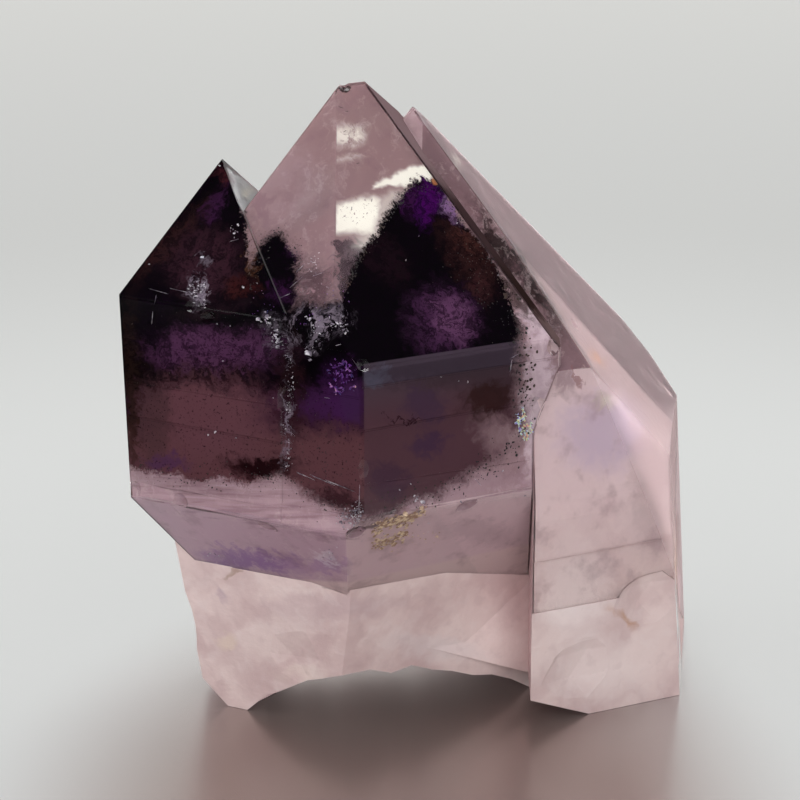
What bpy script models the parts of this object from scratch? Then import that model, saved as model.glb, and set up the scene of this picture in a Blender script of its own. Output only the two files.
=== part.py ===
"""A small cluster of quartz crystals, amethyst over smoky phantoms, broken off at its base.

Three crystals share one growth direction and have grown into each other: the large front head, the
smaller crystal on its left, and the pale crystal behind and below, with the stem that carries the head.
They are one stone, so they are joined in one solid. It stands on its broken base: up is +Z, the side
with the large front faces looks along -Y, and the origin is below the middle, on the surface it
stands on.
"""
import bmesh
import bpy
import math
from mathutils import Vector

MM = 0.001

# Quartz keeps its angles: six prism sides 60 degrees apart, each under a tip face that dips 51.8.
TIP_DIP = 51.8
RIGHT, LEFT, EAST, WEST, BACK_RIGHT, BACK_LEFT, BACK = 30, -30, 90, -90, 150, -150, 180

# Growth axes, millimetres from the middle of the footprint.
HEAD_AXIS = (-3.8, -3.13)
SIDE_AXIS = (-14.5, -4.73)
PALE_AXIS = (-1.0, 0.07)
STEM_AXIS = (-3.5, -0.13)

# The head: where its tip faces would meet its axis, how far its sides are from it.
HEAD_SIDE = 14.05
HEAD_SIDE_LEFT = 14.26
HEAD_RIDGE_RIGHT = 48.3
HEAD_RIDGE_EAST = 47.6
HEAD_RIDGE_LEFT = 51.05
HEAD_RIDGE_BACK = 46.9
HEAD_SHOULDER = 14.14
HEAD_WAIST = 12.2
HEAD_WAIST_TOP = 28.3
HEAD_FLOOR = 9.0
STEM_TOP = 16.5

# The side crystal, whose front faces lie in line with the head's.
SIDE_HALF = 7.4
SIDE_SEAM = 12.4
SIDE_TIP = 42.8

# The pale crystal: its east side leans out and its front leans in toward the base.
PALE_TIP = 44.6
PALE_EAST = 21.2
PALE_EAST_TURN = 85
PALE_FRONT = 14.87
PALE_FRONT_LOW = 13.15
PALE_BACK = 19.1
PALE_STEP = 9.45
PALE_RECESS = 8.0

# The break: an arch worn through the base from front to back.
ARCH_HEIGHT = 3.5
ARCH_LIP = 1.7
ARCH_LIP_DEPTH = 4.5
ARCH_LIP_BACK = -6.3
ARCH_LEFT = -13.8
ARCH_RIGHT = 7.8

# Growth steps: how far each layer stands out, and the heights between which it lies.
HEAD_RIGHT_STEPS = ((0.14, 29.2, 34.0), (0.08, 26.0, 29.2), (0.07, 19.4, 21.6))
HEAD_LEFT_STEPS = ((0.10, 28.4, 31.2), (0.07, 17.3, 19.3))
SIDE_LEFT_STEPS = ((0.11, 29.8, 36.0), (0.07, 24.1, 26.6), (0.12, 17.0, 19.0))
PALE_RIGHT_STEPS = ((0.12, 13.6, 17.8), (0.08, 6.5, 9.0))
PALE_BACK_STEPS = ((0.35, 19.0, 27.0), (0.2, 9.0, 14.5))

# Shell-shaped scoops of the fracture round the base and back: centre and half sizes.
SCOOPS = (
    ((-13.8, -18.73, 3.2), (11.0, 11.0, 9.0)),
    ((-10.5, 22.27, 7.0), (11.0, 10.0, 10.0)),
    ((2.4, 26.07, 10.4), (12.0, 9.0, 10.0)),
    ((15.4, 28.27, 4.2), (11.0, 10.2, 9.0)),
    ((11.9, -2.53, -3.4), (4.4, 5.0, 4.3)),
    ((14.0, 8.07, -4.4), (5.6, 6.4, 5.4)),
    ((-15.6, 4.17, -3.0), (3.1, 5.0, 3.8)),
    ((16.7, -15.0, 3.2), (9.0, 9.0, 7.6)),
    ((20.7, -10.9, 8.3), (7.0, 7.0, 5.2)),
    ((-25.0, -4.0, 5.7), (9.0, 7.6, 8.4)),
    ((-20.6, 8.5, 11.6), (7.0, 7.0, 6.0)),
    ((31.3, 5.0, 8.6), (12.0, 10.4, 11.0)),
    ((26.5, -2.4, 3.7), (7.0, 6.2, 5.0)),
    ((1.8, 19.8, 35.0), (7.0, 7.0, 7.0)),
    ((-5.3, 22.3, 22.0), (7.0, 7.0, 8.6)),
    ((-17.6, 11.5, 14.5), (8.0, 8.0, 6.4)),
    ((17.0, 26.7, 14.0), (8.6, 8.0, 6.8)),
    ((-11.8, 13.1, 24.0), (6.0, 6.0, 7.4)),
)

# Small chips on the sharp edges: centre and half sizes.
CHIPS = (
    ((-16.3, -12.73, 33.3), (0.9, 0.5, 0.7)),
    ((-15.1, -13.43, 32.5), (0.7, 0.5, 0.5)),
    ((-11.7, -15.43, 17.1), (1.6, 0.7, 0.6)),
    ((-3.6, -19.7, 30.8), (0.8, 0.8, 0.8)),
    ((-0.9, -18.1, 19.2), (0.7, 0.7, 0.7)),
    ((4.0, -15.1, 18.4), (1.2, 0.9, 0.9)),
    ((-17.5, -12.5, 18.2), (0.8, 0.8, 0.8)),
    ((-4.1, -18.9, 17.6), (0.9, 0.9, 0.9)),
    ((8.9, -12.7, 25.1), (0.9, 0.9, 1.4)),
    ((10.1, -12.0, 29.8), (0.7, 0.7, 0.9)),
    ((-21.0, -10.4, 18.6), (0.8, 0.8, 0.8)),
    ((-9.6, -16.9, 27.2), (0.9, 0.9, 1.3)),
    ((-5.1, -5.0, 47.7), (0.6, 0.6, 0.6)),
    ((-14.3, -5.9, 42.2), (0.5, 0.5, 0.5)),
    ((20.3, 13.4, 19.8), (0.9, 1.3, 0.9)),
    ((12.0, -4.6, 29.8), (0.7, 0.9, 0.7)),
    ((-3.6, -19.9, 22.9), (0.8, 0.8, 1.2)),
)

BLOCK = 80.0
WELD = 0.00001


def side(turn, distance, lean=0.0):
    """A prism side: its compass turn from the front, its distance from the axis at the floor, its lean."""
    a, b = math.radians(turn), math.radians(lean)
    out = Vector((math.sin(a) * math.cos(b), -math.cos(a) * math.cos(b), -math.sin(b)))
    return Vector((math.sin(a), -math.cos(a), 0)) * distance, out


def tip(turn, height, dip=TIP_DIP):
    """A tip face, by the height where it meets the axis."""
    a, d = math.radians(turn), math.radians(dip)
    out = Vector((math.sin(a) * math.sin(d), -math.cos(a) * math.sin(d), math.cos(d)))
    return Vector((0, 0, height)), out


def root(turn, height, dip=TIP_DIP):
    """A face of the head's lower end, where it narrows to its stem."""
    point, out = tip(turn, height, dip)
    return point, Vector((out.x, out.y, -out.z))


def level(height, up=True, tilt=(0.0, 0.0)):
    """A nearly level end, tilted by small slopes along X and Y."""
    out = Vector((-tilt[0], -tilt[1], 1.0)).normalized()
    return Vector((0, 0, height)), out if up else -out


def crystal(name, axis, faces):
    """A block cut back to every face in turn: each face is a point and the way out of the stone."""
    bm = bmesh.new()
    bmesh.ops.create_cube(bm, size=2 * BLOCK * MM)
    base = Vector((axis[0], axis[1], 0))
    for point, out in faces.values():
        cut = bmesh.ops.bisect_plane(bm, geom=bm.verts[:] + bm.edges[:] + bm.faces[:], dist=1e-8,
                                     plane_co=(base + point) * MM, plane_no=out, clear_outer=True)
        rim = [item for item in cut["geom_cut"] if isinstance(item, bmesh.types.BMEdge)]
        if rim:
            bmesh.ops.edgeloop_fill(bm, edges=rim)
    bmesh.ops.remove_doubles(bm, verts=bm.verts[:], dist=WELD)
    return solid_object(name, bm)


def solid_object(name, bm):
    bmesh.ops.recalc_face_normals(bm, faces=bm.faces[:])
    mesh = bpy.data.meshes.new(name)
    bm.to_mesh(mesh)
    bm.free()
    made = bpy.data.objects.new(name, mesh)
    bpy.context.collection.objects.link(made)
    return made


def join(stone, other, operation):
    """Unite the stone with another growth, or cut a hollow from it."""
    other.hide_render = True
    other.display_type = 'WIRE'
    step = stone.modifiers.new(other.name, 'BOOLEAN')
    step.operation = operation
    step.solver = 'EXACT'
    step.object = other


def growth_steps(stone, name, axis, faces, key, steps):
    """Thin plates left standing proud of one side, each clipped by gently sloping ends."""
    point, out = faces[key]
    for number, (lift, low, high) in enumerate(steps):
        plate = {other: (where - away * 0.06, away) for other, (where, away) in faces.items()}
        plate[key] = (point + out * lift, out)
        slope = 0.012 * (number - 1)
        plate["low"] = level(low, up=False, tilt=(slope, 0.02))
        plate["high"] = level(high, tilt=(-slope, -0.015))
        join(stone, crystal("%s_step_%d" % (name, number), axis, plate), 'UNION')


def scoop(name, centre, size, detail=3):
    """A ball, a little uneven, for a shell-shaped hollow of the fracture."""
    bm = bmesh.new()
    bmesh.ops.create_icosphere(bm, subdivisions=detail, radius=1.0)
    for vert in bm.verts:
        ripple = 1.0 + 0.03 * math.sin(5.1 * vert.co.x + 3.0 * centre[0]) * math.cos(4.3 * vert.co.z)
        vert.co = Vector([(centre[i] + vert.co[i] * size[i] * ripple) * MM for i in range(3)])
    return solid_object(name, bm)


def arch_height(x, y):
    """The arch's roof at one place: two worn bays with a low cusp between them, highest at the front."""
    span = min(max((x - ARCH_LEFT) / (ARCH_RIGHT - ARCH_LEFT), 0.0), 1.0)
    dome = math.sin(math.pi * span) ** 0.62
    lip = ARCH_LIP * min(max((ARCH_LIP_BACK - y) / ARCH_LIP_DEPTH, 0.0), 1.0)
    cusp = 0.5 * math.exp(-((x + 3.1) / 0.9) ** 2)
    wave = 0.2 * math.sin(1.9 * x + 0.1 * y) + 0.14 * math.sin(3.7 * x - 0.2 * y)
    skew = 0.5 * (0.5 - span)
    return (ARCH_HEIGHT + lip - cusp + wave + skew) * dome


def arch(name):
    """The broken passage under the base, lofted from front to back."""
    rows, steps, length = 17, 14, 50.0
    bm = bmesh.new()
    rings = []
    for row in range(rows):
        along = row / (rows - 1)
        y = (along - 0.5) * length
        drift = 1.1 * math.sin(0.1 * y + 2.4)
        ring = []
        for step in range(steps + 1):
            x = ARCH_LEFT + (ARCH_RIGHT - ARCH_LEFT) * step / steps
            ring.append(bm.verts.new(Vector((x + drift, y, arch_height(x, y))) * MM))
        ring.append(bm.verts.new(Vector((ARCH_RIGHT + drift + 2.0, y, -4.0)) * MM))
        ring.append(bm.verts.new(Vector((ARCH_LEFT + drift - 2.0, y, -4.0)) * MM))
        rings.append(ring)
    for first, second in zip(rings, rings[1:]):
        count = len(first)
        for i in range(count):
            j = (i + 1) % count
            bm.faces.new((first[i], first[j], second[j], second[i]))
    bm.faces.new(rings[0])
    bm.faces.new(rings[-1])
    return solid_object(name, bm)


def head_faces():
    return {
        "right": side(RIGHT, HEAD_SIDE),
        "left": side(LEFT, HEAD_SIDE_LEFT),
        "east": side(EAST, HEAD_SHOULDER),
        "west": side(WEST, 14.6),
        "back_right": side(BACK_RIGHT, 11.0),
        "back_left": side(BACK_LEFT, 12.5),
        "tip_right": tip(RIGHT, HEAD_RIDGE_RIGHT),
        "tip_left": tip(LEFT, HEAD_RIDGE_LEFT),
        "tip_east": tip(EAST, HEAD_RIDGE_EAST),
        "tip_west": tip(-105, 49.5, 56.3),
        "tip_back_right": tip(BACK_RIGHT, 50.0),
        "tip_back_left": tip(BACK_LEFT, HEAD_RIDGE_BACK),
        "root_right": root(RIGHT, 1.3),
        "root_left": root(LEFT, -0.4),
        "root_west": root(WEST, -0.3),
        "root_back_left": root(BACK_LEFT, 0.0),
        "floor": level(HEAD_FLOOR, up=False),
    }


def waist_faces():
    """What the head lacks on its east side, where it draws in below its shoulder."""
    under = Vector((-0.927, 0.0, 0.376))
    return {
        "inner": side(WEST, -HEAD_WAIST),
        "under": (Vector((HEAD_SHOULDER, 0, HEAD_WAIST_TOP)), under),
    }


def side_crystal_faces():
    return {
        "left": side(LEFT, SIDE_HALF + 0.22),
        "west": side(WEST, 5.7, 2.3),
        "right": side(RIGHT, SIDE_SEAM),
        "east": side(EAST, SIDE_HALF),
        "back_right": side(BACK_RIGHT, SIDE_HALF),
        "back_left": side(BACK_LEFT, SIDE_HALF - 0.1),
        "tip_left": tip(LEFT, SIDE_TIP),
        "tip_west": tip(-105, SIDE_TIP - 1.35, 56.3),
        "tip_east": tip(74.4, SIDE_TIP - 0.1, 49.0),
        "tip_right": tip(RIGHT, SIDE_TIP + 9.0),
        "tip_back_right": tip(BACK_RIGHT, SIDE_TIP - 0.9),
        "tip_back_left": tip(BACK_LEFT, SIDE_TIP - 0.5),
        "root_left": root(LEFT, 8.2),
        "root_west": root(WEST, 9.7),
        "root_back_left": root(BACK_LEFT, 9.0),
        "floor": level(11.0, up=False),
    }


def pale_faces():
    return {
        "right": side(RIGHT, PALE_FRONT_LOW, 5.4),
        "right_upper": side(RIGHT, PALE_FRONT),
        "left": side(LEFT, 9.0),
        "east": side(PALE_EAST_TURN, PALE_EAST, -3.0),
        "south_east": side(120, 26.7),
        "back": side(BACK, PALE_BACK),
        "back_left": side(BACK_LEFT, 14.9),
        "west": side(WEST, 5.4),
        "tip_east": tip(EAST, 45.9),
        "bevel": tip(PALE_EAST_TURN, 47.1, 53.5),
        "tip_back_right": tip(BACK_RIGHT, 45.8, 41.1),
        "tip_right": tip(RIGHT, 46.5),
        "tip_left": tip(LEFT, PALE_TIP),
        "tip_west": tip(WEST, PALE_TIP - 0.5),
        "tip_back_left": tip(BACK_LEFT, PALE_TIP - 0.2),
        "heel": root(WEST, 6.5, 25.0),
        "floor": level(0.0, up=False),
    }


def recess_faces():
    """What the pale crystal lacks on its near left, beside the stem."""
    point, out = side(RIGHT, PALE_RECESS)
    return {
        "west_end": side(EAST, PALE_STEP),
        "behind": (point, -out),
        "top": level(24.0),
    }


def stem_faces():
    return {
        "left": side(LEFT, 9.9, 12.6),
        "left_low": side(-43, 11.2, 22.0),
        "left_high": side(-22, 9.7, 14.5),
        "front": side(2, 10.2, 16.0),
        "front_low": side(-9, 8.7, 30.0),
        "right": side(RIGHT, 7.6, 15.0),
        "right_low": side(21, 7.9, 19.0),
        "right_high": side(38, 8.3, 11.5),
        "west": side(WEST, 12.3, 9.0),
        "back_left": side(BACK_LEFT, 8.9, 3.6),
        "back": side(BACK, 9.4, 2.0),
        "east": side(EAST, 13.7),
        "foot": root(WEST, -11.5, 47.0),
        "top": level(STEM_TOP),
        "floor": level(0.0, up=False),
    }


def build_stone():
    head, pale, smaller = head_faces(), pale_faces(), side_crystal_faces()
    stone = crystal("amethyst_cluster", HEAD_AXIS, head)
    growth_steps(stone, "head_right", HEAD_AXIS, head, "right", HEAD_RIGHT_STEPS)
    growth_steps(stone, "head_left", HEAD_AXIS, head, "left", HEAD_LEFT_STEPS)
    join(stone, crystal("waist", HEAD_AXIS, waist_faces()), 'DIFFERENCE')
    pale_crystal = crystal("pale_crystal", PALE_AXIS, pale)
    growth_steps(pale_crystal, "pale_right", PALE_AXIS, pale, "right", PALE_RIGHT_STEPS)
    growth_steps(pale_crystal, "pale_back", PALE_AXIS, pale, "back", PALE_BACK_STEPS)
    join(pale_crystal, crystal("recess", PALE_AXIS, recess_faces()), 'DIFFERENCE')
    side_crystal = crystal("side_crystal", SIDE_AXIS, smaller)
    growth_steps(side_crystal, "side_left", SIDE_AXIS, smaller, "left", SIDE_LEFT_STEPS)
    join(stone, side_crystal, 'UNION')
    join(stone, pale_crystal, 'UNION')
    join(stone, crystal("stem", STEM_AXIS, stem_faces()), 'UNION')
    join(stone, arch("arch"), 'DIFFERENCE')
    for number, (centre, size) in enumerate(SCOOPS):
        join(stone, scoop("scoop_%d" % number, centre, size), 'DIFFERENCE')
    for number, (centre, size) in enumerate(CHIPS):
        join(stone, scoop("chip_%d" % number, centre, size, detail=2), 'DIFFERENCE')
    return stone


def quartz_material():
    """Pale lilac quartz."""
    made = bpy.data.materials.new("quartz")
    made.use_nodes = True
    shader = made.node_tree.nodes["Principled BSDF"]
    shader.inputs["Base Color"].default_value = (0.42, 0.29, 0.34, 1.0)
    shader.inputs["Roughness"].default_value = 0.12
    shader.inputs["Metallic"].default_value = 0.0
    return made


for old in list(bpy.data.objects):
    bpy.data.objects.remove(old, do_unlink=True)
cluster = build_stone()
cluster.data.materials.append(quartz_material())
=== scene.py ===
"""A natural amethyst cluster on a pale table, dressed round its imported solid.

The clear quartz is a see-through skin with tinted depth. Under it lie the milky and smoky growth zones, and
between the two the flecks, veils and crusts that grew in.
"""
import bpy
import math
import random
from mathutils import Matrix, Vector
from mathutils.bvhtree import BVHTree


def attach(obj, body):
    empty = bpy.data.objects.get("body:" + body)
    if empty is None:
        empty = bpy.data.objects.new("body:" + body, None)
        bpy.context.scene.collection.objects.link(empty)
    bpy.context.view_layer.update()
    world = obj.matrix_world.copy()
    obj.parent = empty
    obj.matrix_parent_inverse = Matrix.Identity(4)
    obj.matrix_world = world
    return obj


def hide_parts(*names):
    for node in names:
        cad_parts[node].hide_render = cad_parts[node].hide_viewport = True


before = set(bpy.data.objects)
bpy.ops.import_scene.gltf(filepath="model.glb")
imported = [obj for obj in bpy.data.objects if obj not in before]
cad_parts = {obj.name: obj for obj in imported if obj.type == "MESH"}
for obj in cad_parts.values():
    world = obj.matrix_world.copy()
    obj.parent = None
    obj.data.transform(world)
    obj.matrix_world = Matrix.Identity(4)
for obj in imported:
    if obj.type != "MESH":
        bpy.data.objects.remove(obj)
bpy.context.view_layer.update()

# Camera, table and soft light. The table is a wide pale sheet with a low gloss, which mirrors the stone
# softly, and a painted shadow darkens it under and round the stone. The room is pale all round and dim
# overhead, so the upward faces stay clear to look into.
MM = 0.001
VIEW_UP = math.radians(16.0)
AIM = Vector((-1.24, -3.11, 23.36)) * MM
DISTANCE = 0.300
FRAME_ANGLE = math.radians(11.33)
TABLE_REACH, TABLE_DROP = 3.0, -0.02 * MM
TABLE_PAINTED_SHADOW, TABLE_NEAR, TABLE_RING, TABLE_FAR = (
    (0.34, 0.27, 0.25), (0.66, 0.67, 0.67), (0.50, 0.505, 0.50), (0.59, 0.585, 0.565),
)
UNDER_STONE, UNDER_REACH = (-1.0, -30.0, 0.0), (30.0, 52.0, 1.0)
RING_START, RING_END, FAR_END = 60.0, 160.0, 420.0
GRAZING_SHINE, PLAIN_SHINE = 0.78, 0.08

eye = AIM + Vector((0, -math.cos(VIEW_UP), math.sin(VIEW_UP))) * DISTANCE
bpy.ops.object.camera_add(location=eye)
camera = bpy.context.object
camera.name = "camera"
camera.rotation_mode = "QUATERNION"
camera.rotation_quaternion = (AIM - eye).to_track_quat("-Z", "Y")
camera.data.sensor_width = 36.0
camera.data.angle = FRAME_ANGLE
camera.data.clip_start, camera.data.clip_end = 0.01, 20.0
bpy.context.scene.camera = camera


class Tone:
    """A shader socket that can be used in sums, with one call for every other kind of node."""

    def __init__(self, tree, socket):
        self.tree, self.socket = tree, socket

    def node(self, kind, settings=None, values=None, out=0):
        made = self.tree.nodes.new(kind)
        for key, value in (settings or {}).items():
            if key == "stops":
                ramp = made.color_ramp
                while len(ramp.elements) < len(value):
                    ramp.elements.new(0.5)
                for element, (place, colour) in zip(ramp.elements, value):
                    element.position = place
                    element.color = colour if len(colour) == 4 else (*colour, 1.0)
            else:
                setattr(made, key, value)
        for key, value in (values or {}).items():
            if isinstance(value, Tone):
                self.tree.links.new(value.socket, made.inputs[key])
            else:
                made.inputs[key].default_value = value
        return Tone(self.tree, made.outputs[out])

    def sum(self, operation, *values):
        return self.node("ShaderNodeMath", {"operation": operation}, dict(enumerate(values)))

    def __add__(self, other):
        return self.sum("ADD", self, other)

    def __sub__(self, other):
        return self.sum("SUBTRACT", self, other)

    def __rsub__(self, other):
        return self.sum("SUBTRACT", other, self)

    def __mul__(self, other):
        return self.sum("MULTIPLY", self, other)

    __radd__, __rmul__ = __add__, __mul__

    def part(self, axis):
        """One coordinate of a place."""
        return self.node("ShaderNodeSeparateXYZ", values={0: self}, out=axis)

    def length(self):
        return self.node("ShaderNodeVectorMath", {"operation": "LENGTH"}, {0: self}, out=1)

    def along(self, way):
        """How far a place lies along a direction."""
        return self.node("ShaderNodeVectorMath", {"operation": "DOT_PRODUCT"}, {0: self, 1: way}, out=1)

    def noise(self, scale, detail, rough=0.5, out=0):
        values = {"Vector": self, "Scale": scale, "Detail": detail, "Roughness": rough}
        return self.node("ShaderNodeTexNoise", values=values, out=out)

    def mapped(self, kind, values):
        return self.node("ShaderNodeMapping", {"vector_type": kind}, {"Vector": self, **values})

    def least(self, other):
        return self.sum("MINIMUM", self, other)

    def most(self, other):
        return self.sum("MAXIMUM", self, other)

    def rise(self, start, end, low=0.0, high=1.0):
        """A smooth step from low to high as this goes from start to end."""
        settings = {"interpolation_type": "SMOOTHSTEP", "clamp": True}
        if start > end:
            start, end, low, high = end, start, high, low
        return self.node("ShaderNodeMapRange", settings, {0: self, 1: start, 2: end, 3: low, 4: high})

    def over(self, under, colour):
        """This mask lays a colour over another."""
        colour = colour if isinstance(colour, Tone) else (*colour, 1.0)
        under = under if isinstance(under, Tone) else (*under, 1.0)
        return self.node("ShaderNodeMix", {"data_type": "RGBA"}, {0: self, 6: under, 7: colour}, out=2)


def new_material(name):
    """A material, its Principled shader, and its Object coordinates in millimetres."""
    made = bpy.data.materials.new(name)
    made.use_nodes = True
    tree = made.node_tree
    shader = tree.nodes["Principled BSDF"]
    start = Tone(tree, None)
    raw = start.node("ShaderNodeTexCoord", out=3)
    place = start.node("ShaderNodeVectorMath", {"operation": "SCALE"}, {0: raw, 3: 1000.0})
    return made, shader, place


def link(tone, shader, socket):
    tone.tree.links.new(tone.socket, shader.inputs[socket])


bpy.ops.mesh.primitive_circle_add(vertices=96, radius=TABLE_REACH, fill_type="NGON", location=(0, 0, 0))
table = bpy.context.object
table.name = "table"
table.location = (0, 0, TABLE_DROP)
bpy.ops.object.transform_apply(location=True, rotation=True, scale=True)
made, shader, place = new_material("table_top")
away = place.length()
below = place.mapped("TEXTURE", {"Location": UNDER_STONE, "Scale": UNDER_REACH}).length()
# Painted shadow: the table is darker and warmer under and round the stone.
pale = below.rise(0.45, 1.1).over(TABLE_PAINTED_SHADOW, TABLE_NEAR)
pale = away.rise(RING_START, RING_END).over(pale, TABLE_RING)
pale = away.rise(RING_END, FAR_END).over(pale, TABLE_FAR)
link(pale, shader, "Base Color")
grazing = place.node("ShaderNodeLayerWeight", out=1)
link(grazing.rise(0.3, 0.75) * GRAZING_SHINE + PLAIN_SHINE, shader, "Metallic")
shader.inputs["Roughness"].default_value = 0.27
table.data.materials.append(made)

# Two dark cards stand beside the stone, hidden from the camera, so its tall faces mirror no glare. Their
# edges fade out.
CARD_BLACK = (0.004, 0.003, 0.004, 1.0)
CARD_WIDE, CARD_HIGH = 78 * MM, 34 * MM
CARD_ASIDE, CARD_AHEAD, CARD_MIDDLE = 52 * MM, -38 * MM, 17 * MM
CARD_TURN = math.radians(60)
SIDE_FADE, TOP_FADE, FOOT_FADE = 0.3, 0.5, 0.15
made, shader, place = new_material("dark_card")
shader.inputs["Base Color"].default_value = CARD_BLACK
shader.inputs["Roughness"].default_value = 0.9
sheet = place.node("ShaderNodeTexCoord", out=2)
from_left, from_foot = sheet.part(0), sheet.part(1)
sides = from_left.rise(0.0, SIDE_FADE) * from_left.rise(1.0, 1.0 - SIDE_FADE)
link(sides * from_foot.rise(1.0, 1.0 - TOP_FADE) * from_foot.rise(0.0, FOOT_FADE), shader, "Alpha")
for name, side in (("card_left", -1), ("card_right", 1)):
    bpy.ops.object.select_all(action="DESELECT")
    stand, lean = (side * CARD_ASIDE, CARD_AHEAD, CARD_MIDDLE), (math.pi / 2, 0, side * CARD_TURN)
    bpy.ops.mesh.primitive_plane_add(size=1.0, location=stand, rotation=lean)
    card = bpy.context.object
    card.name = name
    card.scale = (CARD_WIDE, CARD_HIGH, 1.0)
    bpy.ops.object.transform_apply(location=True, rotation=True, scale=True)
    card.data.materials.append(made)
    card.visible_camera = card.visible_diffuse = False
    card.visible_transmission = card.visible_shadow = False

# The room: what the stone mirrors, and the brighter air that lights it and shows through it.
GLOSS_NEAR, GLOSS_FAR, GLOSS_ABOVE = (0.35, 0.35, 0.35), (1.0, 1.0, 0.985), (0.03, 0.03, 0.033)
AIR_LOW, AIR_HIGH = (1.45, 1.45, 1.42), (1.65, 1.65, 1.62)
world = bpy.data.worlds.new("room")
bpy.context.scene.world = world
world.use_nodes = True
room = Tone(world.node_tree, None)
way = room.node("ShaderNodeTexCoord", out=0)
height = way.part(2)
mirrored = room.node("ShaderNodeLightPath", out=5)
behind = way.part(1)
low_down = behind.rise(-0.35, 0.5).over(GLOSS_NEAR, GLOSS_FAR)
gloss = height.rise(0.35, 0.62).over(low_down, GLOSS_ABOVE)
open_air = height.rise(-0.1, 0.7).over(AIR_LOW, AIR_HIGH)
shown = mirrored.over(open_air, gloss)
background = world.node_tree.nodes["Background"]
world.node_tree.links.new(shown.socket, background.inputs["Color"])
background.inputs["Strength"].default_value = 1.0

# Each light: its name, place, width, power, and whether the stone mirrors it.
SOFTBOXES = (
    ("light_above", (0.05, 0.16, 0.55), 0.40, 2.0, True),
    ("light_left", (-0.55, -0.10, 0.30), 0.35, 1.2, False),
    ("light_front", (0.05, -0.58, 0.16), 0.50, 2.6, False),
)
for name, where, width, power, glossy in SOFTBOXES:
    bpy.ops.object.light_add(type="AREA", location=where)
    lamp = bpy.context.object
    lamp.name = name
    lamp.data.size = width
    lamp.data.energy = power
    lamp.visible_glossy = glossy
    lamp.rotation_mode = "QUATERNION"
    lamp.rotation_quaternion = (AIM - Vector(where)).to_track_quat("-Z", "Y")
bpy.context.scene.view_settings.view_transform = "Standard"

# The clear quartz skin: the stone's own faces, with fine growth lines on the tall sides and a frosted break
# round the base. Light goes through it, and its depth is tinted a pale mauve.
FLAT, ROUNDED = math.radians(0.4), math.radians(17.0)
SAME_POINT, TINY = 0.002 * MM, 1.3 * MM * MM
SAME_WAY, STEEP = 0.97, 0.12
BREAK_TOP, FLANK_FOOT, LOW_DOWN = 18.0 * MM, 14.2 * MM, 15.0 * MM
QUARTZ_IOR, DEPTH_TINT, DEPTH_DENSITY = 1.544, (0.55, 0.22, 0.30, 1.0), 18.0
WHITE = (1.0, 1.0, 1.0, 1.0)
WORN_WAY, WORN_FROM, WORN_TO = (1.0, 0.42, 0.5), 21.5, 24.0
ROUGH_WORN, ROUGH_CLEAR, FROST_WORN, FROST_CLEAR = 0.66, 0.02, 0.7, 0.02
LINE_SCALE, LINE_DEPTH = (0.12, 0.12, 4.0), 0.12
LONG_TOP, FRONT_TOP, SIDE_FACET = (0.79, 0.0, 0.62), (0.39, -0.68, 0.62), (0.73, -0.20, 0.66)
LEFT_BEVEL, RIGHT_BEVEL = (-0.39, -0.68, -0.62), (0.39, -0.68, -0.62)


def stone_copy(name):
    """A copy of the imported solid's surface, its triangles joined into whole faces."""
    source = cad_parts["amethyst_cluster"]
    mesh = source.data.copy()
    mesh.name = name
    made = bpy.data.objects.new(name, mesh)
    bpy.context.scene.collection.objects.link(made)
    mesh.materials.clear()
    pick(made)
    bpy.ops.object.mode_set(mode="EDIT")
    bpy.ops.mesh.select_all(action="SELECT")
    bpy.ops.mesh.remove_doubles(threshold=SAME_POINT)
    # leaving edit mode in between works the normals out afresh
    bpy.ops.object.mode_set(mode="OBJECT")
    bpy.ops.object.mode_set(mode="EDIT")
    bpy.ops.mesh.select_all(action="SELECT")
    bpy.ops.mesh.dissolve_limited(angle_limit=FLAT)
    bpy.ops.object.mode_set(mode="OBJECT")
    return made


def pick(made):
    bpy.ops.object.select_all(action="DESELECT")
    made.select_set(True)
    bpy.context.view_layer.objects.active = made


skin = stone_copy("quartz_skin")
bpy.ops.object.shade_smooth_by_angle(angle=ROUNDED)


def on_break(mesh, face):
    """Whether a face belongs to the broken base below the crystals' own faces."""
    top = max(mesh.vertices[index].co.z for index in face.vertices)
    flank = abs(face.normal.z) < STEEP and top > FLANK_FOOT
    across, _, up = face.center / MM
    # the broad crystal's flank beside the head, which faces left, is broken too
    if face.normal.x < -0.8 and 6.0 < across < 12.0 and up < 27.0:
        return True
    tiny = face.area < TINY and up > 15.0
    bevel = max(face.normal.dot(Vector(out)) for out in (LEFT_BEVEL, RIGHT_BEVEL)) > SAME_WAY
    return top < BREAK_TOP and not flank and not tiny and not bevel


for face in skin.data.polygons:
    face.use_smooth = face.area < TINY
    face.material_index = 1 if on_break(skin.data, face) else 0
made, shader, place = new_material("clear_quartz")
shader.inputs["Base Color"].default_value = WHITE
shader.inputs["Transmission Weight"].default_value = 1.0
shader.inputs["IOR"].default_value = QUARTZ_IOR


def toward(facing, out, close=0.93):
    """1 on faces that look the given way."""
    return facing.along(out).rise(close, close + 0.04)


facing = place.node("ShaderNodeTexCoord", out=1)
right_of = place.along(WORN_WAY)
weathered = right_of.rise(WORN_FROM, WORN_TO).most(toward(facing, LONG_TOP))
weathered = weathered.most(toward(facing, SIDE_FACET, 0.9) * 0.5)
link(weathered * ROUGH_WORN + ROUGH_CLEAR, shader, "Roughness")
upright = facing.part(2).sum("ABSOLUTE", 0.0).rise(0.3, 0.1)
lines = place.mapped("POINT", {"Scale": LINE_SCALE}).noise(1.0, 2.0)
frost = place.noise(2.2, 3.0, 0.6)
relief = lines * upright * LINE_DEPTH + frost * (weathered * FROST_WORN + FROST_CLEAR)
bump = place.node("ShaderNodeBump", values={"Height": relief, "Strength": 0.35, "Distance": 0.00012})
link(bump, shader, "Normal")
depth = made.node_tree.nodes.new("ShaderNodeVolumeAbsorption")
depth.inputs["Color"].default_value = DEPTH_TINT
depth.inputs["Density"].default_value = DEPTH_DENSITY
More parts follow.
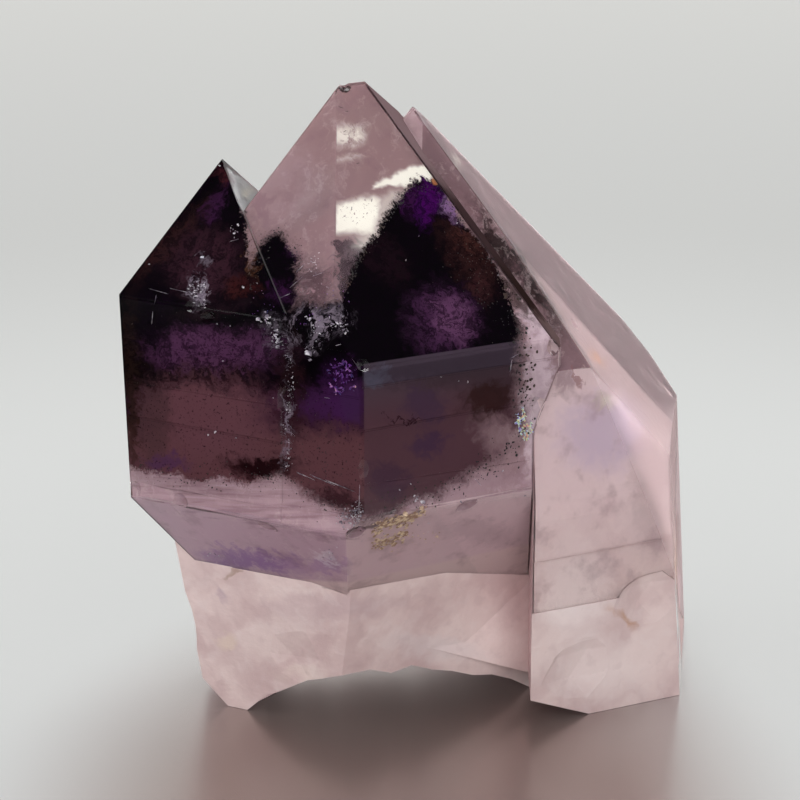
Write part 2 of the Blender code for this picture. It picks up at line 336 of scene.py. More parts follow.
made.node_tree.links.new(depth.outputs[0], made.node_tree.nodes["Material Output"].inputs["Volume"])
skin.data.materials.append(made)
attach(skin, "root")
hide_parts("amethyst_cluster")

# The heart: the milky mauve body of the quartz, just under the skin, with the dark smoky and violet growth
# zones of the two front crystals, the pale broad crystal, and the frosty pink base.
HEART_DEPTH, RUNAWAY, MANY_CORNERS = 0.15, 5.0, 12


def drawn_in(name, depth):
    """The stone's shape with every face moved in by a depth, its edges kept crisp."""
    made = stone_copy(name)
    # the large back faces have scars inside them, so they are cut to triangles while they are still flat
    bpy.ops.object.mode_set(mode="EDIT")
    bpy.ops.mesh.select_mode(type="FACE")
    bpy.ops.mesh.select_all(action="DESELECT")
    bpy.ops.object.mode_set(mode="OBJECT")
    for face in made.data.polygons:
        face.select = face.normal.y > 0.5 and len(face.vertices) > MANY_CORNERS
    bpy.ops.object.mode_set(mode="EDIT")
    bpy.ops.mesh.quads_convert_to_tris(quad_method="BEAUTY", ngon_method="BEAUTY")
    bpy.ops.object.mode_set(mode="OBJECT")
    before = [(point.co.copy(), point.normal.copy()) for point in made.data.vertices]
    bpy.ops.object.mode_set(mode="EDIT")
    bpy.ops.mesh.select_all(action="SELECT")
    bpy.ops.transform.shrink_fatten(value=-depth * MM, use_even_offset=True)
    bpy.ops.object.mode_set(mode="OBJECT")
    for point, (place, out) in zip(made.data.vertices, before):
        # a point that ran away, or came out through the skin, goes straight in from its old place
        near, face_out, _, _ = skin_faces.find_nearest(point.co)
        if (point.co - place).length > RUNAWAY * depth * MM or (point.co - near).dot(face_out) > 0:
            point.co = place - out * depth * MM
    bpy.ops.object.shade_smooth_by_angle(angle=ROUNDED)
    for face in made.data.polygons:
        face.use_smooth = face.area < TINY
    return made


def surface(piece):
    """A piece's faces, to cast rays at."""
    points = [point.co for point in piece.data.vertices]
    return BVHTree.FromPolygons(points, [face.vertices for face in piece.data.polygons])


skin_faces = surface(skin)
heart = drawn_in("milky_heart", HEART_DEPTH)


def stirred(place, scale, reach, rough=0.6):
    """A place moved to and fro by a cloudy noise."""
    cloud = place.noise(scale, 3.0, rough, out=1)
    shift = cloud.node("ShaderNodeVectorMath", {"operation": "SUBTRACT"}, {0: cloud, 1: (0.5, 0.5, 0.5)})
    shift = shift.node("ShaderNodeVectorMath", {"operation": "SCALE"}, {0: shift, 3: reach})
    return place.node("ShaderNodeVectorMath", {"operation": "ADD"}, {0: place, 1: shift})


def turned(place):
    """Across the front view, up it and toward the viewer: plain, drifting broadly, and swirled finely."""
    turn = place.mapped("POINT", {"Rotation": (VIEW_UP - math.pi / 2, 0, 0)})
    drift = stirred(turn, 0.4, 2.0)
    return turn, drift, stirred(drift, 1.6, 2.2)


PICTURE, MIDDLE = 800, 400
AIM_ACROSS, AIM_UPWARD, AIM_NEARER = -1.24, 21.6, 9.43


def front(u, v, away=-20.0):
    """Across and up, in millimetres, of pixel (u, v) of the front picture, at a depth beyond the origin."""
    span = 2 * math.tan(FRAME_ANGLE / 2) / PICTURE * (DISTANCE / MM + away + AIM_NEARER)
    return AIM_ACROSS + (u - MIDDLE) * span, AIM_UPWARD + (MIDDLE - v) * span


def beyond(place, first, second):
    """How far a place lies to the right of the line from one point to the next, seen from the front."""
    along = Vector(second) - Vector(first)
    out = Vector((along.y, -along.x)).normalized()
    dot = place.along((out.x, out.y, 0))
    return dot - out.dot(Vector(first))


def within(place, corners, away=-20.0):
    """How deep a place lies inside a zone, given by its corners clockwise in the front picture."""
    depth = None
    corners = [front(*corner, away) for corner in corners]
    for first, second in zip(corners, corners[1:] + corners[:1]):
        edge = beyond(place, first, second)
        depth = edge if depth is None else depth.least(edge)
    return depth


SPOT_NEARER, SPOT_REACH = 20.0, 30.0
SPOT_RIM, SPOT_CORE = 1.25, 0.4


def spot(place, centre, half, turn=0.0, away=-20.0):
    """How far out from a spot's middle a place lies: 0 in the middle, 1 at its rim."""
    pixel = front(MIDDLE + 1, MIDDLE, away)[0] - front(MIDDLE, MIDDLE, away)[0]
    values = {"Location": (*front(*centre, away), SPOT_NEARER), "Rotation": (0, 0, math.radians(turn)),
              "Scale": (half[0] * pixel, half[1] * pixel, SPOT_REACH)}
    return place.mapped("TEXTURE", values).length()


def speckled(place, body, spots):
    """A colour with soft spots of other colours laid over it, one after another."""
    for colour, centre, half, tilt, away, strength in spots:
        mask = spot(place, centre, half, tilt, away).rise(SPOT_RIM, SPOT_CORE)
        body = (mask * strength).over(body, colour)
    return body


# Each tint: its colour, its middle, half width and half height in pixels of the front picture, its tilt in
# degrees, the depth of its face beyond the origin in millimetres, and its strength.
BREAK_PINK, BREAK_PALE = (0.66, 0.485, 0.48), (0.82, 0.65, 0.63)
RIPPLE_PALE, RIPPLE_DARK = (0.92, 0.82, 0.81), (0.46, 0.31, 0.33)
BREAK_TINTS_AND_LIGHT = (
    ((0.56, 0.31, 0.2), (625, 616), (20, 5), -50, -8, 0.7),
    ((0.42, 0.24, 0.24), (594, 592), (20, 4), -50, -8, 0.6),
    ((0.78, 0.48, 0.28), (680, 560), (6, 34), 0, -5, 0.6),
    ((0.95, 0.82, 0.81), (575, 590), (46, 60), 0, -10, 0.75),
    # Painted light: this pale spot lightens the break where the broad crystal's step shades it.
    ((0.96, 0.8, 0.77), (485, 650), (60, 44), 0, -10, 0.8),
    ((0.58, 0.42, 0.44), (330, 606), (80, 18), 6, -12, 0.6),
    ((0.8, 0.64, 0.62), (270, 640), (66, 24), 30, -12, 0.6),
    ((0.82, 0.66, 0.55), (226, 645), (14, 9), 0, -14, 0.6),
    ((0.48, 0.34, 0.4), (223, 600), (14, 5), -50, -14, 0.6),
    ((0.4, 0.26, 0.2), (226, 572), (12, 3), 40, -14, 0.7),
    ((0.46, 0.32, 0.32), (330, 582), (8, 3), 20, -14, 0.7),
    ((0.84, 0.74, 0.74), (440, 650), (66, 14), -10, -12, 0.5),
    ((0.94, 0.8, 0.78), (600, 672), (64, 40), 0, -10, 0.7),
    ((0.8, 0.66, 0.6), (300, 680), (34, 10), 0, -14, 0.5),
)


def milky(turn, swirl):
    """The frosty pink of the broken base and of the lower broad crystal, with a spot of painted light below
    its step.
    """
    clouds = swirl.noise(0.2, 3.0, 0.5)
    body = clouds.rise(0.36, 0.64).over(BREAK_PINK, BREAK_PALE)
    body = speckled(swirl, body, BREAK_TINTS_AND_LIGHT)
    ripple = swirl.noise(0.7, 2.0, 0.5)
    body = (ripple.rise(0.5, 0.7) * 0.14).over(body, RIPPLE_PALE)
    return (ripple.rise(0.46, 0.28) * 0.14).over(body, RIPPLE_DARK)


def from_axis(place, axis):
    """How far a place is from an upright axis."""
    near = place.node("ShaderNodeVectorMath", {"operation": "SUBTRACT"}, {0: place, 1: (*axis, 0)})
    near = near.node("ShaderNodeVectorMath", {"operation": "MULTIPLY"}, {0: near, 1: (1, 1, 0)})
    return near.length()


STREAK_PALE, CLOUD_DARK = (0.78, 0.62, 0.64), (0.30, 0.17, 0.20)


def cloudy(body, turn, swirl):
    """Pale upright streaks and darker clouds over a body colour."""
    stretched = swirl.mapped("POINT", {"Scale": (1.6, 0.35, 0.8)})
    streaks = stretched.noise(0.8, 3.0, 0.65)
    clouds = turn.noise(0.4, 4.0, 0.6)
    body = (streaks.rise(0.52, 0.72) * 0.35).over(body, STREAK_PALE)
    return (clouds.rise(0.5, 0.3) * 0.35).over(body, CLOUD_DARK), streaks


# The two front crystals. Growth zones: the tall smoky cone on the right of the head, the wide band under
# it, the small cone at its left and the whole of the side crystal below its clear facet. Each zone is given
# by its corners, clockwise, in pixels of the front picture, and an edge by where it starts and ends.
HEAD_AXIS, SIDE_AXIS = (-3.8, -3.13), (-14.5, -4.73)
HEAD_ROUND, SIDE_ROUND = (17.2, 16.5), (9.8, 9.2)
TALL_EDGE, WIDE_EDGE, SMALL_EDGE = (-0.1, 0.25), (-0.5, 0.7), (1.15, 0.75)
SIDE_EDGE, JOINT_EDGE, FACET_SMOKE_EDGE = (-0.15, 0.3), (-0.4, 0.4), (34.0, 31.8)
RED_HEIGHT, VIOLET_HEIGHT, BAND_GLOW = (23.6, 21.6), (20.6, 18.4), 1.45
TALL_SMOKE = [
    (413, 178), (438, 182), (476, 236), (510, 288), (525, 335), (525, 400), (340, 400), (332, 318),
    (370, 236),
]
WIDE_SMOKE = [
    (262, 306), (345, 302), (524, 332), (527, 422), (505, 455), (465, 482), (430, 499), (358, 521),
    (320, 502), (262, 464),
]
SIDE_SMOKE = [
    (216, 140), (228, 156), (244, 206), (255, 262), (255, 482), (215, 482), (165, 479), (118, 464),
    (90, 300),
]
JOINT_SMOKE = [(235, 268), (291, 286), (291, 476), (235, 480)]
SMALL_CONE, SMALL_FOOT = ((278, 270), (25, 38)), ((270, 290), (34, 34))
PALE_MARGIN, PALE_CORNER = ((530, 350), (17, 84), -4), ((520, 452), (60, 24), -35)
CROWN_LEFT, CROWN_RIGHT = (364, 365), (504, 343)
RIM_LEFT, RIM_MIDDLE, RIM_RIGHT = (100, 574, -15), (350, 579, -15), (540, 541, -13)
WHITE_GLINT, RUST_DOT = ((327, 559), (16, 5), -25), ((434, 182), (4, 3), 40)
CLEAR_LOW, CLEAR_HIGH, CLEAR_FOOT = (0.46, 0.30, 0.33), (0.42, 0.27, 0.28), (0.49, 0.33, 0.375)
LEFT_PINK, RIGHT_PINK, RIM_PINK = (0.62, 0.42, 0.51), (0.76, 0.57, 0.61), (0.80, 0.62, 0.62)
SMOKE_BLACK = (0.0016, 0.0003, 0.0018)
SMOKE_RED, SMOKE_VIOLET = (0.024, 0.007, 0.018), (0.088, 0.035, 0.042)
GRAIN_BLACK, VEIL_GREY, BLOCK_VIOLET = (0.002, 0.0006, 0.001), (0.26, 0.21, 0.27), (0.040, 0.013, 0.052)
REFLECTED_HIGH, REFLECTED_LOW, REFLECTED_RIM = (0.066, 0.042, 0.054), (0.072, 0.034, 0.044), (0.060, 0.042, 0.060)
HOLLOW_GREY, MURK_GREY = (0.085, 0.055, 0.075), (0.10, 0.058, 0.075)
SILK_PALE, SILK_DARK, CRUST_SHADOW_BROWN = (0.66, 0.48, 0.54), (0.24, 0.13, 0.17), (0.045, 0.022, 0.022)
SILK_TURN, SILK_SCALE = math.radians(12), (0.16, 2.4, 0.3)
GLARE_CREAM, GLINT_WHITE = (0.90, 0.87, 0.80), (0.92, 0.86, 0.90)
RUST_RED, FACET_PAINTED_LIGHT_GREY = (0.55, 0.20, 0.06), (0.50, 0.51, 0.52)
CLEAR_TINTS_AND_SHADE = (
    ((0.52, 0.37, 0.4), (285, 190), (56, 46), 0, -20, 0.7),
    ((0.4, 0.24, 0.26), (352, 96), (22, 14), 0, -18, 0.6),
    ((0.34, 0.2, 0.24), (262, 205), (10, 30), 30, -20, 0.5),
    ((0.34, 0.17, 0.4), (250, 560), (60, 13), -4, -15, 0.9),
    ((0.44, 0.26, 0.46), (330, 562), (24, 9), 0, -15, 0.6),
    ((0.5, 0.36, 0.4), (480, 530), (50, 16), -12, -14, 0.5),
    ((0.98, 0.78, 0.88), (536, 400), (18, 90), 0, -14, 0.95),
    ((0.98, 0.78, 0.88), (536, 325), (18, 26), 30, -14, 0.95),
    # Painted shade: a dark dash along the head's right edge.
    ((0.045, 0.024, 0.024), (513, 297), (36, 8), -55, -14, 0.9),
)
SMOKE_TINTS = (
    ((0.04, 0.006, 0.05), (410, 200), (14, 18), 0, -20, 0.9),
    ((0.052, 0.002, 0.085), (428, 204), (14, 24), 0, -20, 1.0),
    ((0.26, 0.14, 0.3), (452, 210), (9, 20), 40, -20, 0.9),
    ((0.05, 0.016, 0.05), (442, 322), (40, 40), 0, -20, 1.0),
    ((0.13, 0.05, 0.12), (450, 320), (22, 28), 30, -20, 0.8),
    ((0.026, 0.008, 0.008), (470, 258), (22, 52), 35, -20, 0.9),
    ((0.06, 0.02, 0.016), (464, 240), (10, 20), 35, -20, 0.7),
    ((0.05, 0.016, 0.018), (480, 290), (10, 20), 20, -20, 0.5),
    ((0.01, 0.003, 0.006), (385, 262), (20, 36), 32, -20, 0.8),
    ((0.046, 0.01, 0.06), (344, 392), (22, 34), 0, -20, 1.0),
    ((0.04, 0.01, 0.05), (325, 402), (48, 18), 0, -20, 0.8),
    ((0.055, 0.018, 0.02), (470, 405), (40, 18), 8, -20, 0.7),
    ((0.03, 0.009, 0.032), (390, 400), (40, 26), 8, -20, 0.7),
    ((0.034, 0.01, 0.03), (440, 445), (18, 22), 20, -20, 0.6),
    ((0.16, 0.08, 0.09), (512, 440), (24, 26), 0, -20, 0.8),
    ((0.012, 0.003, 0.006), (345, 500), (44, 10), -16, -20, 0.7),
    ((0.05, 0.01, 0.014), (222, 172), (10, 14), 0, -20, 0.9),
    ((0.034, 0.008, 0.036), (214, 205), (9, 26), -30, -20, 0.9),
    ((0.03, 0.01, 0.01), (170, 240), (12, 60), -42, -20, 0.7),
    ((0.036, 0.012, 0.02), (205, 264), (46, 40), 0, -20, 0.9),
    ((0.04, 0.008, 0.008), (242, 288), (20, 12), 0, -20, 0.8),
    ((0.06, 0.024, 0.012), (256, 262), (6, 22), 0, -20, 0.9),
    ((0.024, 0.004, 0.03), (298, 252), (8, 12), 0, -20, 0.8),
    ((0.04, 0.008, 0.044), (282, 292), (16, 12), 0, -20, 0.8),
    ((0.1, 0.034, 0.09), (214, 350), (84, 26), -4, -20, 1.0),
    ((0.004, 0.001, 0.005), (150, 320), (28, 30), 0, -20, 0.9),
    ((0.016, 0.006, 0.01), (215, 310), (50, 8), 6, -20, 0.7),
    ((0.098, 0.039, 0.05), (206, 414), (76, 50), -6, -20, 1.0),
    ((0.052, 0.024, 0.027), (152, 420), (20, 54), 0, -20, 0.7),
    ((0.06, 0.022, 0.06), (165, 464), (28, 10), 0, -20, 0.8),
    ((0.01, 0.002, 0.003), (262, 466), (44, 12), -3, -20, 1.0),
    ((0.018, 0.008, 0.006), (129, 390), (11, 96), 0, -20, 0.9),
    ((0.02, 0.006, 0.008), (292, 390), (16, 64), 0, -20, 0.8),
)
# Each veil: its middle, half width and half height, its tilt and its strength.
TORN_VEILS = (
    ((308, 330), (26, 24), 20, 0.75),
    ((288, 410), (6, 72), 0, 0.6),
    ((276, 338), (14, 26), 20, 0.5),
    ((198, 288), (12, 20), 10, 0.9),
    ((334, 322), (22, 18), 0, 0.6),
    ((206, 260), (4, 12), 30, 0.4),
)
# Painted reflection: the zone of the prism face below the head's tip, and the spots of the smoke seen under
# it.
REFLECTION_ZONE = [(364, 365), (504, 343), (540, 338), (540, 460), (364, 530)]
REFLECTED_SMOKE_TINTS = (
    ((0.09, 0.082, 0.12), (376, 378), (14, 14), 0, -20, 0.8),
    ((0.022, 0.009, 0.008), (488, 400), (32, 20), 8, -20, 0.9),
    ((0.04, 0.022, 0.048), (424, 404), (22, 20), 0, -20, 0.6),
    ((0.044, 0.022, 0.048), (430, 440), (22, 14), 20, -20, 0.8),
    ((0.044, 0.022, 0.04), (388, 478), (22, 20), 0, -20, 0.7),
    ((0.014, 0.004, 0.006), (402, 419), (20, 2), 3, -20, 0.8),
)
VIOLET_BLOCK = [(338, 388), (364, 376), (364, 426), (344, 420)]
GREY_HOLLOW = [(335, 236), (356, 240), (378, 236), (352, 300), (340, 318), (335, 318)]
MURKY_VALLEY = [(290, 256), (335, 268), (335, 318), (285, 318)]
HEAD_RIGHT_FACE = [(336, 60), (640, 60), (640, 330), (336, 330)]
GLARE_BAND = [(371, 180), (424, 163), (436, 176), (430, 188), (404, 188), (386, 190), (372, 188)]
GLARE_BLOT = [(330, 206), (350, 197), (378, 193), (387, 203), (384, 222), (372, 238), (330, 240)]
GLARE_EDGE = [(384, 196), (420, 180), (396, 218), (366, 256), (350, 250)]
GLARE_HIGH = [(330, 128), (352, 124), (370, 125), (366, 140), (352, 150), (330, 146)]
GLARE_FAINT = [(330, 156), (358, 154), (366, 158), (350, 164), (330, 164)]
GLARE_MARKS = [(339, 199), (367, 197), (380, 212), (360, 226), (339, 220)]
SILKY_FOOT = [(120, 470), (300, 478), (366, 505), (366, 540), (280, 540), (120, 505)]
CRUST_SHADOW_LINE = [(362, 521), (380, 516), (426, 509), (426, 512), (382, 521), (364, 526)]
CLEAR_FACET = [(223, 164), (257, 188), (244, 215), (236, 200)]
FACET_TINTS = (
    ((0.16, 0.12, 0.14), (238, 189), (4, 3), 0, -18, 1.0),
    ((0.16, 0.12, 0.14), (243, 199), (3, 5), 0, -18, 1.0),
    ((0.85, 0.8, 0.66), (249, 193), (5, 4), 0, -18, 1.0),
    ((0.1, 0.04, 0.06), (229, 176), (6, 3), -40, -18, 0.8),
)
made, shader, place = new_material("smoky_quartz")
turn, drift, swirl = turned(place)
fuzz = stirred(drift, 4.0, 1.2, 0.7)
tall = within(fuzz, TALL_SMOKE)
wide = within(fuzz, WIDE_SMOKE)
side = within(fuzz, SIDE_SMOKE)
joint = within(fuzz, JOINT_SMOKE)
small = spot(fuzz, *SMALL_CONE).least(spot(fuzz, *SMALL_FOOT))
in_head = from_axis(place, HEAD_AXIS).rise(*HEAD_ROUND)
in_side = from_axis(place, SIDE_AXIS).rise(*SIDE_ROUND).most(in_head)
smoke = tall.rise(*TALL_EDGE).most(wide.rise(*WIDE_EDGE)).most(small.rise(*SMALL_EDGE)) * in_head
smoke = smoke * (1 - spot(fuzz, *PALE_MARGIN).rise(1.3, 0.1) * 0.8)
smoke = smoke * (1 - spot(swirl, *PALE_CORNER).rise(1.2, 0.1) * 0.7)
smoke = smoke.most(side.rise(*SIDE_EDGE).most(joint.rise(*JOINT_EDGE)) * in_side)
facing = place.node("ShaderNodeTexCoord", out=1)
height = swirl.part(1)
smoke = smoke.most(toward(facing, SIDE_FACET, 0.9) * height.rise(*FACET_SMOKE_EDGE))

body = height.rise(26.0, 41.0).over(CLEAR_LOW, CLEAR_HIGH)
body = height.rise(18.5, 15.5).over(body, CLEAR_FOOT)
body = toward(facing, LEFT_BEVEL).over(body, LEFT_PINK)
body = toward(facing, RIGHT_BEVEL).over(body, RIGHT_PINK)
rim = beyond(turn, front(*RIM_LEFT), front(*RIM_MIDDLE))
rim = rim.most(beyond(turn, front(*RIM_MIDDLE), front(*RIM_RIGHT)))
body = rim.rise(-0.1, 0.2).over(body, RIM_PINK)
body = speckled(swirl, body, CLEAR_TINTS_AND_SHADE)
body, streaks = cloudy(body, turn, swirl)

# The smoky colour is near black in the cones, and violet and brown lower down.
dusk = height.rise(*RED_HEIGHT).over(SMOKE_BLACK, SMOKE_RED)
dusk = height.rise(*VIOLET_HEIGHT).over(dusk, SMOKE_VIOLET)
wisps = swirl.noise(1.3, 4.0, 0.72)
dusk = speckled(swirl, dusk, SMOKE_TINTS)
dusk = (wisps.rise(0.54, 0.42) * height.rise(21.5, 23.5) * 0.7).over(dusk, SMOKE_BLACK)
torn = streaks.rise(0.46, 0.62)
for centre, half, tilt, strength in TORN_VEILS:
    dusk = (spot(swirl, centre, half, tilt).rise(1.2, 0.5) * torn * strength).over(dusk, VEIL_GREY)
grains = turn.noise(5.0, 2.0, 0.7)
dusk = (grains.rise(0.40, 0.32) * 0.7).over(dusk, GRAIN_BLACK)
# Painted reflection: below the head's tip the pale table shows mirrored as a greyish veil over the smoke,
# whose own dark marks show through it.
in_reflection = within(turn, REFLECTION_ZONE)
crown = beyond(turn, front(*CROWN_LEFT), front(*CROWN_RIGHT))
smoke_and_reflection = crown.rise(1.0, 4.5).over(REFLECTED_HIGH, REFLECTED_LOW)
smoke_and_reflection = crown.rise(1.62, 1.52).over(smoke_and_reflection, REFLECTED_RIM)
smoke_and_reflection = speckled(swirl, smoke_and_reflection, REFLECTED_SMOKE_TINTS)
dusk = (in_reflection.rise(-0.03, 0.08) * 0.92).over(dusk, smoke_and_reflection)
block = within(turn, VIOLET_BLOCK).rise(-0.1, 0.4)
dusk = (block * 0.8).over(dusk, BLOCK_VIOLET)
glow = height.rise(*RED_HEIGHT, 1.0, BAND_GLOW)
dusk = dusk.node("ShaderNodeVectorMath", {"operation": "SCALE"}, {0: dusk, 3: glow})
hollow = within(swirl, GREY_HOLLOW).rise(-0.1, 0.5)
body = (hollow * 0.85).over(body, HOLLOW_GREY)
murk = within(swirl, MURKY_VALLEY).rise(-0.4, 1.2)
body = (murk * wisps.rise(0.68, 0.46) * 0.9).over(body, MURK_GREY)
body = smoke.over(body, dusk)

# The painted glare of the light that shows through the head's right face, silky lines at the foot, and the
# clear facet at the side, painted grey for the pale room seen through it.
crest = within(turn, HEAD_RIGHT_FACE).rise(-0.03, 0.05)
band = within(drift, GLARE_BAND).rise(-0.1, 0.35)
blot = within(drift, GLARE_BLOT).rise(-0.15, 0.7)
edge = within(drift, GLARE_EDGE).rise(-0.3, 0.6)
high = within(drift, GLARE_HIGH).rise(-0.3, 0.7)
faint = within(drift, GLARE_FAINT).rise(-0.2, 0.5)
brushed = streaks.rise(0.36, 0.58)
marks = grains.rise(0.37, 0.33) * within(turn, GLARE_MARKS).rise(-0.2, 0.2)
# Painted light: the cream glare where the room's light shows through the head's right face.
flash = band.most(blot * (1 - marks * 0.9)).most(edge * 0.5)
flash = flash.most(high * brushed * 0.85).most(faint * brushed * 0.5)
ahead = facing.part(1).rise(-0.2, -0.5)
flash = flash * (1 - smoke) * crest * ahead
silk = turn.mapped("POINT", {"Rotation": (0, 0, SILK_TURN), "Scale": SILK_SCALE}).noise(1.0, 2.0)
silky = within(swirl, SILKY_FOOT).rise(0.0, 0.8) * (1 - smoke)
body = (silk.rise(0.5, 0.64) * silky * 0.4).over(body, SILK_PALE)
body = (silk.rise(0.48, 0.36) * silky * 0.4).over(body, SILK_DARK)
body = flash.over(body, GLARE_CREAM)
# Painted shadow: a dark brown line just above the limonite crust.
line = within(drift, CRUST_SHADOW_LINE).rise(-0.1, 0.15)
body = (line * 0.7).over(body, CRUST_SHADOW_BROWN)
body = (spot(swirl, *WHITE_GLINT).rise(1.2, 0.3) * 0.45).over(body, GLINT_WHITE)
body = (spot(drift, *RUST_DOT).rise(1.3, 0.6) * 0.8).over(body, RUST_RED)
# Painted light: the clear facet of the side crystal is painted the grey of the pale room seen through it.
clear = within(turn, CLEAR_FACET).rise(-0.02, 0.06) * toward(facing, SIDE_FACET, 0.8)
facet_painted_light = speckled(swirl, FACET_PAINTED_LIGHT_GREY, FACET_TINTS)
body = clear.over(body, facet_painted_light)
link(body, shader, "Base Color")
shader.inputs["Roughness"].default_value = 0.5
shader.inputs["Specular IOR Level"].default_value = 0.0
solid = smoke.most(height.rise(20.0, 12.0)).most(flash)
link(solid * 0.4 + 0.6, shader, "Alpha")
heart.data.materials.append(made)

# The broad crystal behind, mauve on top and milky below, with the head's shade painted on it as dark lines
# and a darker patch, a painted glint, and painted light on its flank that faces left. It is the same heart
# in a second finish, on faces right of the head's edge or far from both crystals' axes.
BROAD_LOW, BROAD_HIGH = (0.86, 0.69, 0.71), (0.54, 0.38, 0.41)
LONG_TOP_MAUVE, FRONT_TOP_MAUVE = (0.15, 0.08, 0.095), (0.235, 0.145, 0.162)
RIGHT_SIDE, RIGHT_MAUVE = (0.99, -0.09, 0.05), (0.52, 0.38, 0.39)
LEFT_SIDE, LEFT_PAINTED_LIGHT = (-1.0, 0.0, 0.0), (0.96, 0.78, 0.80)
HEAD_EDGE_TOP, HEAD_EDGE_END, HEAD_LIMIT = (374, 72), (556, 340), (540, 400)
HEAD_REACH, SIDE_REACH = 17.6, 10.2
BROAD_TINTS_SHADE_AND_GLINT = (
    ((0.66, 0.53, 0.65), (600, 432), (50, 44), 0, -12, 0.8),
    ((0.76, 0.68, 0.58), (603, 402), (14, 8), 0, -12, 0.7),
    ((0.28, 0.1, 0.1), (577, 378), (3, 8), 30, -12, 0.6),
    ((0.58, 0.3, 0.18), (597, 358), (14, 3), -35, -12, 0.8),
    # Painted glint: a white dash near the head's right edge.
    ((0.84, 0.78, 0.7), (453, 168), (9, 2.5), -55, -2, 0.8),
    ((0.6, 0.48, 0.52), (420, 130), (12, 3), -55, -4, 0.5),
    ((0.58, 0.44, 0.45), (652, 478), (28, 84), 0, -8, 0.7),
    # Painted shade: a darker patch in the gap between the head and the broad crystal, and two dark dashes
    # along the head's right edge.
    ((0.3, 0.19, 0.22), (560, 376), (15, 24), 0, -8, 0.6),
    ((0.17, 0.1, 0.115), (548, 282), (64, 12), -50, -2, 0.5),
    ((0.022, 0.011, 0.011), (514, 273), (88, 12), -54, -6, 1.0),
)
made, shader, place = new_material("pale_quartz")
turn, drift, swirl = turned(place)
height = swirl.part(1)
facing = place.node("ShaderNodeTexCoord", out=1)
body = height.rise(21.0, 29.0).over(BROAD_LOW, BROAD_HIGH)
body = (toward(facing, LONG_TOP) * height.rise(17.0, 22.0)).over(body, LONG_TOP_MAUVE)
body = (toward(facing, FRONT_TOP) * height.rise(19.0, 24.0)).over(body, FRONT_TOP_MAUVE)
body = toward(facing, RIGHT_SIDE, 0.8).over(body, RIGHT_MAUVE)
base = place.part(2).rise(11.5, 10.5)
body = height.rise(18.0, 6.0).most(base).over(body, milky(turn, swirl))
# Painted light: the broad crystal's flank that faces left, which the lamps barely reach, is painted pale.
body = toward(facing, LEFT_SIDE, 0.8).over(body, LEFT_PAINTED_LIGHT)
body = speckled(swirl, body, BROAD_TINTS_SHADE_AND_GLINT)
body, _ = cloudy(body, turn, swirl)
link(body, shader, "Base Color")
shader.inputs["Roughness"].default_value = 0.5
shader.inputs["Specular IOR Level"].default_value = 0.0
shader.inputs["Alpha"].default_value = 0.88
heart.data.materials.append(made)

edge_top, edge_end = front(*HEAD_EDGE_TOP), front(*HEAD_EDGE_END)
run, drop = edge_end[0] - edge_top[0], edge_end[1] - edge_top[1]
for face in heart.data.polygons:
    at = face.center / MM
    ground = (at.x, at.y)
    near = math.dist(ground, HEAD_AXIS) < HEAD_REACH or math.dist(ground, SIDE_AXIS) < SIDE_REACH
    up = at.z * math.cos(VIEW_UP) + at.y * math.sin(VIEW_UP)
    left = (at.x - edge_top[0]) * drop - (up - edge_top[1]) * run > 0
    right_facet = face.normal.dot(Vector(LONG_TOP)) > SAME_WAY and at.x > -8.0
    face.material_index = 0 if near and left and not right_facet and at.x < front(*HEAD_LIMIT)[0] else 1
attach(heart, "root")

# The broken base: the skin's own lowest faces, frosted by the fine ripples of a fresh break, milky pink
# with whiter clouds and rusty films along old cracks, and a spot of painted light where the broad crystal's
# step shades the break.
BREAK_BACK = (0.80, 0.56, 0.585)
made, shader, place = new_material("broken_quartz")
turn = place.mapped("POINT", {"Rotation": (VIEW_UP - math.pi / 2, 0, 0)})
facing = place.node("ShaderNodeTexCoord", out=1)
ahead = facing.part(1).rise(-0.3, -0.6)
body = milky(turn, stirred(turn, 0.4, 3.0))
body = ((1 - ahead) * 0.7).over(body, BREAK_BACK)
link(body, shader, "Base Color")
shader.inputs["Roughness"].default_value = 0.5
frost = turn.noise(1.3, 5.0, 0.6)
bump = turn.node("ShaderNodeBump", values={"Height": frost, "Strength": 0.25, "Distance": 0.0004})
link(bump, shader, "Normal")
skin.data.materials.append(made)

# Low down, tiny faces and chips with no heart close behind them are frosted too.
BACKING = 0.6 * MM
heart_faces = surface(heart)
for face in skin.data.polygons:
    bare = heart_faces.ray_cast(face.center, -face.normal, BACKING)[0] is None
    if face.center.z < LOW_DOWN and (bare or face.area < TINY):
        face.material_index = 1

# The narrow face down the head's right side is painted as a dark band of shade, darkest midway and lighter
# at its top and foot.
SHADE_TOP, SHADE_HIGH = (0.235, 0.155, 0.165), (0.050, 0.028, 0.030)
SHADE_LOW, SHADE_FOOT = (0.026, 0.014, 0.013), (0.150, 0.095, 0.095)
STRIP_OUT = 26.5
made, shader, place = new_material("painted_shade_quartz")
height = turned(place)[2].part(1)
body = height.rise(39.5, 35.5).over(SHADE_TOP, SHADE_HIGH)
body = height.rise(33.0, 30.0).over(body, SHADE_LOW)
body = height.rise(28.6, 26.6).over(body, SHADE_FOOT)
link(body, shader, "Base Color")
shader.inputs["Roughness"].default_value = 0.5
shader.inputs["Specular IOR Level"].default_value = 0.0
skin.data.materials.append(made)
for face in skin.data.polygons:
    out = Vector(LONG_TOP)
    if face.normal.dot(out) > SAME_WAY and abs(face.center.dot(out) / MM - STRIP_OUT) < 0.5:
        face.material_index = 2

# Specks of iron oxide that grew in along the edges of the smoky zones, black to rust brown. Each is a
# flattened grain a tenth of a millimetre across, in the clear quartz between skin and heart.
forward = (AIM - eye).normalized()
upward = Vector((1, 0, 0)).cross(forward).normalized()
chance = random.Random(11)


